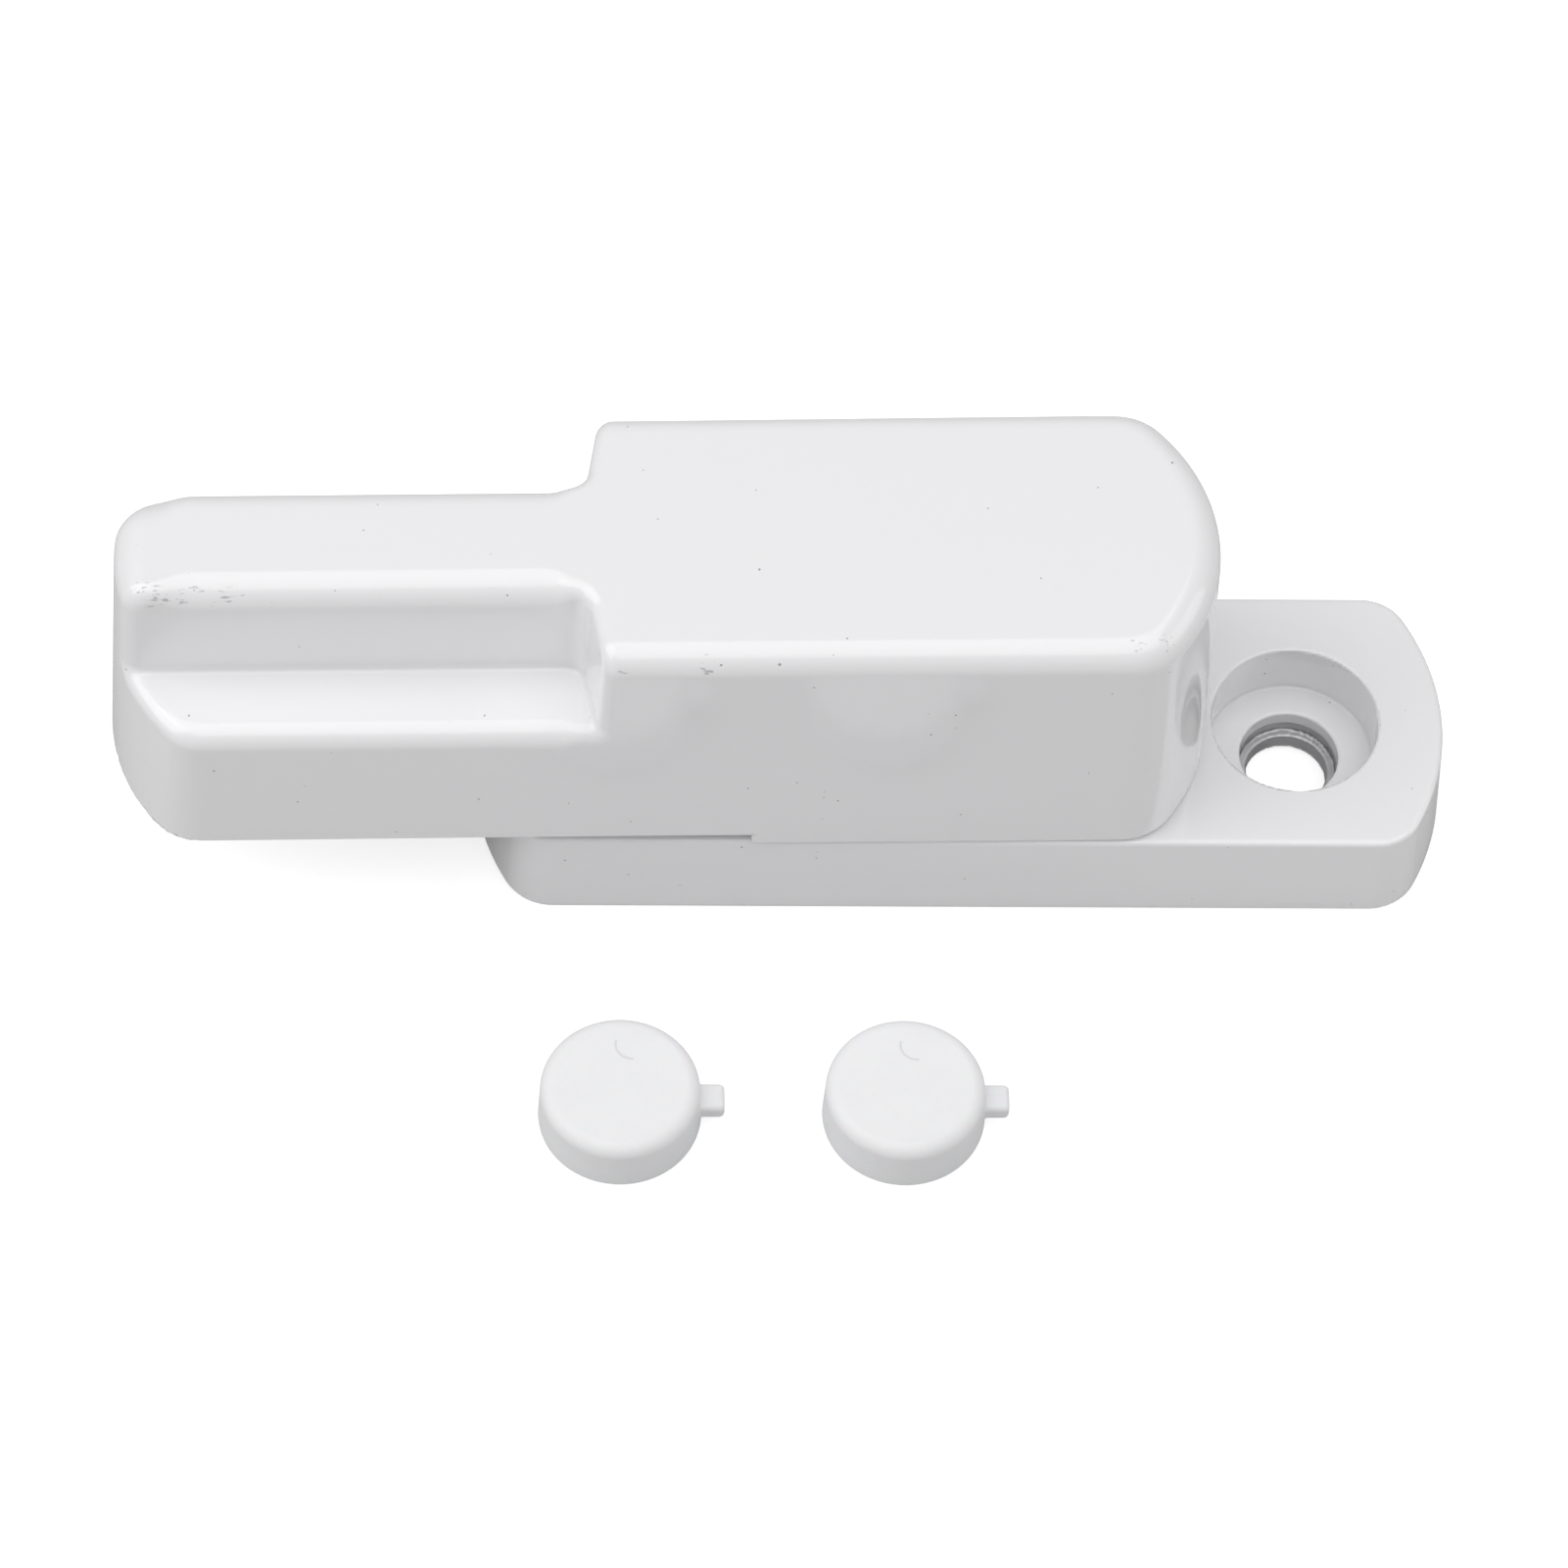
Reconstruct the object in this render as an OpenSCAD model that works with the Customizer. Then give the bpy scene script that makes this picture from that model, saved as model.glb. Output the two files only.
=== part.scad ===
// Surface-mounted swing-arm sash and gate latch with two loose screw cover caps.
// Frame: origin on the plate's back face at the pivot axis, midway between the two
// screw holes. +X towards the screw hole that the parked arm leaves free, +Y away
// from the front long edge, +Z out of the mounting surface.

/* [Base plate] */
// Length of the plate's front face
plate_l = 65; // [58:0.5:72]
// Width of the plate's front face
plate_w = 20; // [19:0.5:24]
// Plate thickness
plate_t = 7.5; // [7:0.1:9]
// Radius of the bowed ends in plan
plate_end_r = 17.3; // [15:0.1:30]
// Radius of the four plan corners
plate_corner_r = 3.2; // [2:0.1:5]
// How far the back face stands out past the front face, all round
plate_draft = 0.45; // [0.1:0.05:0.8]

/* [Screw holes] */
// Distance between the two screw holes
hole_pitch = 45; // [42:0.5:46]
// Counterbore diameter for the screw head and its cover cap
counterbore_d = 11.3; // [10:0.1:11.6]
// Counterbore depth from the front face
counterbore_h = 4.3; // [3.5:0.1:4.6]
// Upper diameter of the screw hole
hole_d = 6.7; // [6:0.1:7]
// Lower diameter of the screw hole, at the back face
hole_low_d = 5.5; // [4.5:0.1:5.8]
// Height of the lower hole's step above the back face
hole_step_z = 1.3; // [0.8:0.1:2]

/* [Swing arm] */
// Height of the arm from its bearing pad to its top
arm_h = 21.6; // [18:0.1:24]
// Width across the arm's top
arm_w = 20; // [18:0.1:20.5]
// Distance from the pivot to the heel end of the top
arm_heel = 15.7; // [14:0.1:18]
// Distance from the pivot to the nose end of the top
arm_nose = 56; // [50:0.1:62]
// Plan radius of the heel end
heel_r = 13.2; // [11:0.1:16]
// Plan radius of the nose end
nose_r = 12.6; // [11:0.1:16]
// Radius of the nose's plan corners
nose_corner_r = 3.3; // [2:0.1:4]
// Radius of the heel's plan corners
heel_corner_r = 4; // [1:0.1:5]
// How far the nose end leans outward from top to bottom
nose_draft = 1.15; // [0.5:0.05:1.5]
// How far the heel end leans outward from top to bottom
heel_draft = 0.6; // [0.3:0.05:1.2]
// How far each side leans outward from top to bottom
arm_side_draft = 0.05; // [0.05:0.05:0.4]
// Radius of the arm's top edges
arm_edge_r = 1.6; // [0.5:0.1:2]
// Angle that the parked arm makes with the plate
park_deg = 1.1; // [0:0.1:5]

/* [Finger recesses] */
// Depth of the recesses below the arm's top
recess_h = 8.3; // [6:0.1:9]
// Width of the ridge left between the recesses, at the top
ridge_w = 8.6; // [6:0.1:9]
// How much wider the ridge is at its root, on each side
ridge_draft = 0.3; // [0.2:0.05:1]
// Distance from the pivot to the recesses' end wall
recess_x = 25.6; // [24:0.1:28]

/* [Arm underside] */
// Distance from the pivot to the step of the bearing pad
pad_x = 14.6; // [12:0.1:16]
// How far the nose's underside is raised above the pad
relief_h = 1.1; // [0.5:0.1:2]
// Thickness of the arm's cored walls
wall = 3; // [2.5:0.1:3.5]

/* [Pivot] */
// Diameter of the pivot screw's shoulder
shoulder_d = 7; // [6:0.1:8]
// Radial running clearance of the shoulder in its bush
run_gap = 0.05; // [0.02:0.01:0.1]
// Outside diameter of the bush
bush_d = 10; // [9.5:0.1:10.5]
// Diameter of the bush's flange
flange_d = 17; // [15:0.1:18]
// Thickness of the bush's flange
flange_t = 1; // [0.8:0.1:1.2]
// Height of the bush's flange above the plate
flange_proud = 0.18; // [0.1:0.01:0.3]
// Diameter of the recess in the plate's back
back_recess_d = 13; // [12.6:0.1:14]
// Depth of the recess in the plate's back
back_recess_h = 3.4; // [3.3:0.1:3.8]
// Thickness of the pivot screw's head
head_h = 1.6; // [1.3:0.1:1.8]
// Diameter of the pivot screw's thread
thread_d = 5; // [4:0.5:5]

/* [Cover caps] */
// Cap diameter
cap_d = 10.8; // [9.5:0.1:11]
// Cap height
cap_h = 4; // [3.4:0.1:4.2]
// Radius of the cap's top edge
cap_edge_r = 0.8; // [0.4:0.1:1.2]
// Length of the moulding stub on the cap's side
stub_l = 1.5; // [0.8:0.1:2]
// Width of the moulding stub
stub_w = 2; // [1:0.1:2.5]

/* [Hidden] */
$fn = 96;
eps = 0.01;
over = 1;                              // how far a cutter runs past the face it opens
contact_gap = 0.02;                    // keeps two faces that slide on each other apart

arm_z = plate_t + flange_proud + contact_gap; // underside of the bearing pad
plate_edge_r = 0.4;                    // front edge of the plate
flange_seat_gap = 0.2;                 // the flange's recess is this much wider than the flange

head_d = 12;
head_z = 0.3;                          // the head sits this far inside the back face
wave_z = head_z + head_h;
wave_t = 0.3;
wave_lift = 0.2;                       // half of the wave's height
wave_in = 7.7;
wave_out = 11.4;
wave_steps = 48;
waves = 3;
backing_z = wave_z + wave_t + 2 * wave_lift + contact_gap;
backing_d = 12;
backing_in = 7.6;
drive_af = 4;                          // hexagon socket across flats
drive_h = 3;
seat_h = 1;                            // the shoulder's length inside the arm
thread_l = 10;

cap_x = [-23.1, -4.3];
cap_y = -26.6;
cap_wall = 1.2;
cap_roof = 1.5;
stub_z = 1.1;
stub_h = 1.4;

// Where a corner circle of radius rc touches an end arc of radius r from inside, from the
// arc's own centre: the circle's distance along X, and the half-angle of the touching point
function corner_x(r, half, rc) = sqrt(pow(r - rc, 2) - pow(half - rc, 2));
function corner_a(r, half, rc) = atan2(half - rc, corner_x(r, half, rc));

// One bowed plan end that reaches x = tip, with rounded corners, filled back to x = 0
module plan_end(tip, half, r, rc) {
    x0 = tip - r;
    cx = x0 + corner_x(r, half, rc);
    a = corner_a(r, half, rc);
    intersection() {
        translate([x0, 0]) circle(r);
        polygon([[x0, 0],
                 [x0 + 2 * r * cos(a), 2 * r * sin(a)],
                 [x0 + 2 * r * cos(a), -2 * r * sin(a)]]);
    }
    for (s = [-1, 1]) translate([cx, s * (half - rc)]) circle(rc);
    translate([0, -half]) square([cx, 2 * half]);
    polygon([[0, 0], [0, half - rc], [cx, half - rc], [x0, 0], [cx, rc - half], [0, rc - half]]);
}

// Cross-section that leans in from wb to wt and ends in top edges of radius r
module drafted_section(wb, wt, h, r) {
    polygon([[-wb / 2, 0], [wb / 2, 0], [wt / 2, h - r], [-wt / 2, h - r]]);
    translate([r - wt / 2, 0]) square([wt - 2 * r, h]);
    for (s = [-1, 1]) translate([s * (wt / 2 - r), h - r]) circle(r, $fn = 48);
}

// Bar along X with the drafted cross-section
module drafted_bar(x0, x1, wb, wt, h, r) {
    translate([x0, 0, 0]) rotate([90, 0, 90]) linear_extrude(x1 - x0)
        drafted_section(wb, wt, h, r);
}

// Turned end with the drafted profile, about its own arc centre
module drafted_end(rb, rt, h, r) {
    rotate_extrude($fn = 128) intersection() {
        drafted_section(2 * rb, 2 * rt, h, r);
        square([rb + over, h]);
    }
}

module base_solid() {
    bl = plate_l / 2 + plate_draft;
    bw = plate_w + 2 * plate_draft;
    half = bw / 2;
    intersection() {
        linear_extrude(plate_t) union() {
            plan_end(bl, half, plate_end_r + plate_draft, plate_corner_r + plate_draft);
            mirror([1, 0, 0])
                plan_end(bl, half, plate_end_r + plate_draft, plate_corner_r + plate_draft);
        }
        drafted_bar(-bl, bl, bw, plate_w, plate_t, plate_edge_r);
        union() {
            for (s = [-1, 1]) translate([s * (plate_l / 2 - plate_end_r), 0, 0])
                drafted_end(plate_end_r + plate_draft, plate_end_r, plate_t, plate_edge_r);
            translate([plate_end_r - plate_l / 2, -half, 0])
                cube([plate_l - 2 * plate_end_r, bw, plate_t]);
        }
    }
}

module screw_hole() {
    translate([0, 0, plate_t - counterbore_h]) cylinder(d = counterbore_d, h = counterbore_h + over);
    translate([0, 0, hole_step_z]) cylinder(d = hole_d, h = plate_t);
    translate([0, 0, -over]) cylinder(d = hole_low_d, h = plate_t);
}

module base_plate() {
    color([0.93, 0.93, 0.94]) difference() {
        base_solid();
        for (s = [-1, 1]) translate([s * hole_pitch / 2, 0, 0]) screw_hole();
        translate([0, 0, -over]) cylinder(d = back_recess_d, h = back_recess_h + over);
        cylinder(d = bush_d, h = plate_t);
        translate([0, 0, plate_t + flange_proud - flange_t])
            cylinder(d = flange_d + flange_seat_gap, h = flange_t + over);
    }
}

module bearing_bush() {
    color([0.9, 0.89, 0.84]) difference() {
        union() {
            translate([0, 0, back_recess_h])
                cylinder(d = bush_d, h = plate_t + flange_proud - back_recess_h);
            translate([0, 0, plate_t + flange_proud - flange_t]) cylinder(d = flange_d, h = flange_t);
        }
        cylinder(r = shoulder_d / 2 + run_gap, h = plate_t + over);
    }
}

module backing_washer() {
    color([0.72, 0.73, 0.75]) translate([0, 0, backing_z]) difference() {
        cylinder(d = backing_d, h = back_recess_h - backing_z);
        translate([0, 0, -over]) cylinder(d = backing_in, h = back_recess_h);
    }
}

// Spring washer: a flat ring whose height follows a cosine
module wave_washer() {
    corners = [[wave_in / 2, 0], [wave_out / 2, 0], [wave_out / 2, wave_t], [wave_in / 2, wave_t]];
    pts = [for (i = [0:wave_steps - 1]) let (a = 360 * i / wave_steps)
           for (c = corners) [c[0] * cos(a), c[0] * sin(a), c[1] + wave_lift * (1 + cos(waves * a))]];
    faces = [for (i = [0:wave_steps - 1]) let (n = (i + 1) % wave_steps)
             for (k = [0:3]) let (m = (k + 1) % 4)
             each [[4 * i + k, 4 * n + k, 4 * n + m], [4 * i + k, 4 * n + m, 4 * i + m]]];
    color([0.62, 0.63, 0.66]) translate([0, 0, wave_z]) polyhedron(pts, faces);
}

module pivot_screw() {
    seat_z = arm_z + seat_h;
    color([0.75, 0.76, 0.78]) difference() {
        union() {
            translate([0, 0, head_z]) cylinder(d = head_d, h = head_h);
            translate([0, 0, head_z]) cylinder(d = shoulder_d, h = seat_z - head_z);
            translate([0, 0, seat_z - eps]) cylinder(d = thread_d, h = thread_l + eps);
        }
        translate([0, 0, head_z - over])
            cylinder(d = drive_af / cos(30), h = drive_h + over, $fn = 6);
    }
}

module arm_solid() {
    sides_b = arm_w + 2 * arm_side_draft;
    half = sides_b / 2;
    heel_b = arm_heel + heel_draft;
    nose_b = arm_nose + nose_draft;
    intersection() {
        linear_extrude(arm_h) union() {
            plan_end(heel_b, half, heel_r + heel_draft, heel_corner_r + arm_side_draft);
            mirror([1, 0, 0])
                plan_end(nose_b, half, nose_r + nose_draft, nose_corner_r + arm_side_draft);
        }
        drafted_bar(-nose_b, heel_b, sides_b, arm_w, arm_h, arm_edge_r);
        union() {
            translate([arm_heel - heel_r, 0, 0])
                drafted_end(heel_r + heel_draft, heel_r, arm_h, arm_edge_r);
            translate([nose_r - arm_nose, 0, 0])
                drafted_end(nose_r + nose_draft, nose_r, arm_h, arm_edge_r);
            translate([nose_r - arm_nose, -half, 0])
                cube([arm_nose - nose_r + arm_heel - heel_r, sides_b, arm_h]);
        }
    }
}

// Space taken out of one side for the fingers: the ridge wall leans, the end wall is plain
module finger_recess() {
    reach = arm_nose + 2 * nose_draft;
    root = ridge_w / 2 + ridge_draft;
    lip = ridge_w / 2 - ridge_draft * over / recess_h;
    far = arm_w;
    translate([-reach, 0, arm_h - recess_h]) rotate([90, 0, 90]) linear_extrude(reach - recess_x)
        polygon([[root, 0], [far, 0], [far, recess_h + over], [lip, recess_h + over]]);
}

// Cored pockets that keep the casting's walls even; a rib stays between them
module core_pockets() {
    inner = arm_w / 2 - wall;
    rib_x = recess_x + wall / 2;
    nose_end = arm_nose - nose_r / 2 - wall;
    low_h = arm_h - recess_h - wall;
    translate([-nose_end, -inner, -over])
        cube([nose_end - rib_x, 2 * inner, low_h + over]);
    translate([wall / 2 - recess_x, -inner, -over])
        cube([recess_x - wall / 2 - pad_x, 2 * inner, arm_h - 2 * wall + over]);
}

module swing_arm() {
    color([0.95, 0.95, 0.96]) rotate([0, 0, park_deg]) translate([0, 0, arm_z]) difference() {
        arm_solid();
        for (s = [0, 1]) mirror([0, s, 0]) finger_recess();
        core_pockets();
        translate([-2 * arm_nose, -arm_w, -over]) cube([2 * arm_nose - pad_x, 2 * arm_w, relief_h + over]);
        translate([0, 0, -over]) cylinder(r = shoulder_d / 2 + run_gap, h = seat_h + over);
        cylinder(r = thread_d / 2 + eps, h = seat_h + thread_l + over);
    }
}

module screw_cap() {
    color([0.96, 0.96, 0.96]) difference() {
        union() {
            rotate_extrude() union() {
                square([cap_d / 2, cap_h - cap_edge_r]);
                square([cap_d / 2 - cap_edge_r, cap_h]);
                translate([cap_d / 2 - cap_edge_r, cap_h - cap_edge_r]) circle(cap_edge_r, $fn = 48);
            }
            translate([0, -stub_w / 2, stub_z]) cube([cap_d / 2 + stub_l, stub_w, stub_h]);
        }
        translate([0, 0, -over]) cylinder(r = cap_d / 2 - cap_wall, h = cap_h - cap_roof + over);
    }
}

module screw_cap_left() {
    translate([cap_x[0], cap_y, 0]) screw_cap();
}

module screw_cap_right() {
    translate([cap_x[1], cap_y, 0]) screw_cap();
}

base_plate();
bearing_bush();
backing_washer();
wave_washer();
pivot_screw();
swing_arm();
screw_cap_left();
screw_cap_right();
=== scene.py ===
"""Visual model of a swing-arm sash and gate latch with two loose screw cover caps.

Castings and mouldings are described as fields: a function that is negative inside the piece,
zero on its skin and positive outside. Edges get their radii where two fields are joined, and
one mesher turns every field into a closed, evenly shaded mesh. Sizes are in millimetres
inside the classes, and in metres on the finished objects.
"""
import logging
import math
from dataclasses import dataclass, field
from enum import Enum
from functools import cache
from typing import Callable

import bmesh
import bpy
import numpy as np
from mathutils import Matrix, Vector


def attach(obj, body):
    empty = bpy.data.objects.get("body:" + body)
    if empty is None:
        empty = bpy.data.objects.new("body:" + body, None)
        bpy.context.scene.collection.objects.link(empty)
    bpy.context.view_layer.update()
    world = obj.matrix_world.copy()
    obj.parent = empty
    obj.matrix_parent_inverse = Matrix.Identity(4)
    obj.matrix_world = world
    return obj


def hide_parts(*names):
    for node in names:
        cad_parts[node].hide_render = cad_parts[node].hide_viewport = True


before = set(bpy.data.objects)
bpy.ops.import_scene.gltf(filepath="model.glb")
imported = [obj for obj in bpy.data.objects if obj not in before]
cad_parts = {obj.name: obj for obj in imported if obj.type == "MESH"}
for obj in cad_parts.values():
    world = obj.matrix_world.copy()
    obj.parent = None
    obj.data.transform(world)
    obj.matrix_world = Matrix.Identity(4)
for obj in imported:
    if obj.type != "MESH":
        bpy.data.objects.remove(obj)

LOG = logging.getLogger("latch")
MM = 0.001
PARK_DEG = 1.1
PLATE_T = 7.5
ARM_Z = 7.7
GAP = 0.05
FAR_BELOW = -9.0
SLOPE_REACH = 0.02
SETTLE_ROUNDS = 4
EDGE_BAND = 0.28
GRID_OFFSET = 1.37

Array = np.ndarray
Field = Callable[[Array, Array, Array], Array]
Colour = tuple[float, float, float]


class Side(Enum):
    """Which of the two loose caps is meant."""

    LEFT = "left"
    RIGHT = "right"


CAP_X = {Side.LEFT: -23.1, Side.RIGHT: -4.3}


# Fields and their mesher


def meet(a: Array, b: Array, radius: float | Array) -> Array:
    """Joins two fields where both are inside, and rounds the outer edge."""
    round_part = np.hypot(np.maximum(a + radius, 0.0), np.maximum(b + radius, 0.0))
    return np.minimum(np.maximum(a, b), -radius) + round_part


def add(a: Array, b: Array, radius: float | Array) -> Array:
    """Joins two fields where either is inside, and fills the inner corner."""
    return -meet(-a, -b, radius)


def cut(a: Array, b: Array, radius: float | Array) -> Array:
    """Takes field b out of field a, and rounds the edge that this leaves."""
    return meet(a, -b, radius)


def ease(value: Array, start: float, end: float) -> Array:
    """Grows smoothly from 0 to 1 as value goes from start to end."""
    t = np.clip((value - start) / (end - start), 0.0, 1.0)
    return t * t * (3.0 - 2.0 * t)


@dataclass
class Skin:
    """A closed mesh made from a field, with exact normals and an edge mask.

    Attributes:
        field: The piece's field, in millimetres.
        low: Lowest corner of the space to search.
        high: Highest corner of the space to search.
        step: Distance between samples.
        edge_depth: Depth below the skin at which an outer edge is felt.
        rubs: Places that things rub against, as centre x, y, z and reach.
    """

    field: Field
    low: tuple[float, float, float]
    high: tuple[float, float, float]
    step: float
    edge_depth: float = 1.1
    rubs: tuple[tuple[float, float, float, float], ...] = ()

    def slopes(self, points: Array) -> Array:
        """Finds the directions in which the field grows fastest.

        Args:
            points: Rows of x, y and z in millimetres.

        Returns:
            A unit direction for each point.
        """
        rows = []
        for axis in range(3):
            near, far = points.copy(), points.copy()
            near[:, axis] -= SLOPE_REACH
            far[:, axis] += SLOPE_REACH
            rows.append(self.field(*far.T) - self.field(*near.T))
        grown = np.stack(rows, axis=1)
        return grown / np.maximum(np.linalg.norm(grown, axis=1, keepdims=True), 1e-9)

    def settle(self, points: Array) -> Array:
        """Moves points along the slope until they lie on the skin.

        Args:
            points: Rows of x, y and z near the skin.

        Returns:
            The rows after the moves.
        """
        for _ in range(SETTLE_ROUNDS):
            move = np.clip(self.field(*points.T), -self.step, self.step)
            points = points - self.slopes(points) * move[:, None]
        return points

    def net(self) -> tuple[Array, Array]:
        """Finds points and four-sided faces of the skin.

        Returns:
            Points in millimetres, and rows of four point numbers.
        """
        origin = np.array(self.low) - self.step * GRID_OFFSET
        count = np.ceil((np.array(self.high) - origin) / self.step).astype(int) + 2
        axes = [origin[i] + self.step * np.arange(count[i]) for i in range(3)]
        value = self.field(*np.meshgrid(*axes, indexing="ij"))
        inside = value < 0
        total = np.zeros((*(count - 1), 3))
        hits = np.zeros(tuple(count - 1))
        crossings = []
        for axis in range(3):
            u, v = (axis + 1) % 3, (axis + 2) % 3
            first = [slice(None)] * 3
            second = [slice(None)] * 3
            first[axis], second[axis] = slice(None, -1), slice(1, None)
            a, b = value[tuple(first)], value[tuple(second)]
            crossed = inside[tuple(first)] != inside[tuple(second)]
            part = np.where(crossed, a / np.where(crossed, a - b, 1.0), 0.0)
            crossings.append((crossed, inside[tuple(first)]))
            for du in (0, 1):
                for dv in (0, 1):
                    take = [slice(None)] * 3
                    take[u] = slice(du, count[u] - 1 + du)
                    take[v] = slice(dv, count[v] - 1 + dv)
                    here = crossed[tuple(take)]
                    total[..., axis] += part[tuple(take)]
                    total[..., u] += here * du
                    total[..., v] += here * dv
                    hits += here
        cells = np.argwhere(hits > 0)
        number = np.full(hits.shape, -1, dtype=np.int64)
        number[tuple(cells.T)] = np.arange(len(cells))
        spot = total[tuple(cells.T)] / hits[tuple(cells.T)][:, None]
        points = origin + self.step * (cells + spot)
        faces = [self._ring(axis, *crossings[axis], number) for axis in range(3)]
        return points, np.concatenate(faces)

    @staticmethod
    def _ring(axis: int, crossed: Array, starts_inside: Array, number: Array) -> Array:
        """Makes a face round every crossed grid edge along one axis.

        Args:
            axis: The axis along which the edges run.
            crossed: Marks the edges that pass through the skin.
            starts_inside: Marks the edges whose first end is inside.
            number: Point number of each cell.

        Returns:
            Rows of four point numbers.
        """
        u, v = (axis + 1) % 3, (axis + 2) % 3
        edges = np.argwhere(crossed)
        keep = (edges[:, u] > 0) & (edges[:, v] > 0)
        keep &= (edges[:, u] < number.shape[u]) & (edges[:, v] < number.shape[v])
        edges = edges[keep]
        ring = []
        for du, dv in ((1, 1), (0, 1), (0, 0), (1, 0)):
            cell = edges.copy()
            cell[:, u] -= du
            cell[:, v] -= dv
            ring.append(number[tuple(cell.T)])
        quads = np.stack(ring, axis=1)
        flip = ~starts_inside[tuple(edges.T)]
        quads[flip] = quads[flip][:, ::-1]
        return quads

    def build(self, name: str, place: Matrix | None = None) -> bpy.types.Object:
        """Makes the object.

        Args:
            name: Name of the object.
            place: Where the piece's own millimetre frame stands in the model, in metres.

        Returns:
            The object, with point attributes "edge" for outer edges and "rub" for rubbed places.
        """
        points, quads = self.net()
        points = self.settle(points)
        normals = self.slopes(points)
        felt = self.field(*(points - normals * self.edge_depth).T)
        edge = np.clip((felt + self.edge_depth) / (EDGE_BAND * self.edge_depth), 0.0, 1.0)
        rub = np.zeros(len(points))
        for *centre, reach in self.rubs:
            away = np.linalg.norm(points - np.array(centre), axis=1)
            rub = np.maximum(rub, 1.0 - ease(away, 0.2 * reach, reach))
        mesh = bpy.data.meshes.new(name)
        mesh.vertices.add(len(points))
        mesh.loops.add(quads.size)
        mesh.polygons.add(len(quads))
        mesh.vertices.foreach_set("co", (points * MM).astype(np.float32).ravel())
        mesh.loops.foreach_set("vertex_index", quads.ravel().astype(np.int32))
        mesh.polygons.foreach_set("loop_start", (np.arange(len(quads)) * 4).astype(np.int32))
        mesh.update(calc_edges=True)
        mesh.validate()
        for key, mask in (("edge", edge), ("rub", rub)):
            layer = mesh.attributes.new(key, "FLOAT", "POINT")
            layer.data.foreach_set("value", mask.astype(np.float32))
        mesh.polygons.foreach_set("use_smooth", np.ones(len(mesh.polygons), dtype=bool))
        mesh.normals_split_custom_set_from_vertices(normals.astype(np.float32))
        obj = bpy.data.objects.new(name, mesh)
        bpy.context.scene.collection.objects.link(obj)
        if place is not None:
            obj.matrix_world = place
        LOG.info("%s: %d faces", name, len(mesh.polygons))
        return obj


def lift(z: float, turn_deg: float = 0.0) -> Matrix:
    """Matrix that raises a piece by z millimetres and turns it about the pivot."""
    return Matrix.Translation((0, 0, z * MM)) @ Matrix.Rotation(math.radians(turn_deg), 4, "Z")


# Shader groups


class Nodes:
    """Short way to add and join nodes in one tree."""

    def __init__(self, tree: bpy.types.NodeTree) -> None:
        """Keeps the tree that the nodes go into."""
        self.tree = tree

    def add(self, kind: str, **values: object) -> bpy.types.Node:
        """Adds a node and sets its properties.

        Args:
            kind: The node's class name.
            **values: Properties by name.

        Returns:
            The new node.
        """
        node = self.tree.nodes.new(kind)
        for key, value in values.items():
            setattr(node, key, value)
        return node

    def link(self, source: object, target: object) -> None:
        """Joins an output to an input."""
        self.tree.links.new(source, target)

    def math(self, operation: str, a: object, b: object = 0.0, clamp: bool = False) -> object:
        """Adds a math node.

        Args:
            operation: What the node works out.
            a: First socket or number.
            b: Second socket or number.
            clamp: Whether the result is kept from 0 to 1.

        Returns:
            Its output.
        """
        node = self.add("ShaderNodeMath", operation=operation, use_clamp=clamp)
        for socket, value in zip(node.inputs, (a, b)):
            if isinstance(value, (int, float)):
                socket.default_value = value
            else:
                self.link(value, socket)
        return node.outputs[0]

    def ramp(self, source: object, low: float, high: float) -> object:
        """Eases a socket's values from 0 at low to 1 at high.

        Args:
            source: The socket.
            low: Value that becomes 0.
            high: Value that becomes 1.

        Returns:
            The eased output.
        """
        node = self.add("ShaderNodeMapRange", clamp=True, interpolation_type="SMOOTHSTEP")
        node.inputs["From Min"].default_value = low
        node.inputs["From Max"].default_value = high
        self.link(source, node.inputs["Value"])
        return node.outputs["Result"]

    def mix(self, factor: object, a: object, b: object) -> object:
        """Mixes two colours.

        Args:
            factor: Socket with the share of the second colour.
            a: First colour or its socket.
            b: Second colour or its socket.

        Returns:
            The mixed colour's output.
        """
        node = self.add("ShaderNodeMix", data_type="RGBA")
        self.link(factor, node.inputs["Factor"])
        for key, value in (("A", a), ("B", b)):
            socket = next(s for s in node.inputs if s.name == key and s.type == "RGBA")
            if isinstance(value, tuple):
                socket.default_value = (*value, 1.0)
            else:
                self.link(value, socket)
        return next(s for s in node.outputs if s.type == "RGBA")

    def spot(self) -> object:
        """Adds the object's own coordinates and returns them."""
        return self.add("ShaderNodeTexCoord").outputs["Object"]

    def parts(self, vector: object) -> object:
        """Splits a vector.

        Args:
            vector: The vector's socket.

        Returns:
            Its X, Y and Z outputs.
        """
        node = self.add("ShaderNodeSeparateXYZ")
        self.link(vector, node.inputs["Vector"])
        return node.outputs

    def length(self, a: object, b: object) -> object:
        """Works out the length of the flat vector a, b and returns it."""
        square = self.math("ADD", self.math("POWER", a, 2.0), self.math("POWER", b, 2.0))
        return self.math("SQRT", square)

    def noise(self, scale: object, detail: float, source: object) -> object:
        """Adds a noise texture.

        Args:
            scale: Socket with its scale.
            detail: Number of finer layers.
            source: Socket with the position.

        Returns:
            The noise value's output.
        """
        node = self.add("ShaderNodeTexNoise")
        node.inputs["Detail"].default_value = detail
        self.link(scale, node.inputs["Scale"])
        self.link(source, node.inputs["Vector"])
        return node.outputs[0]


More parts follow.
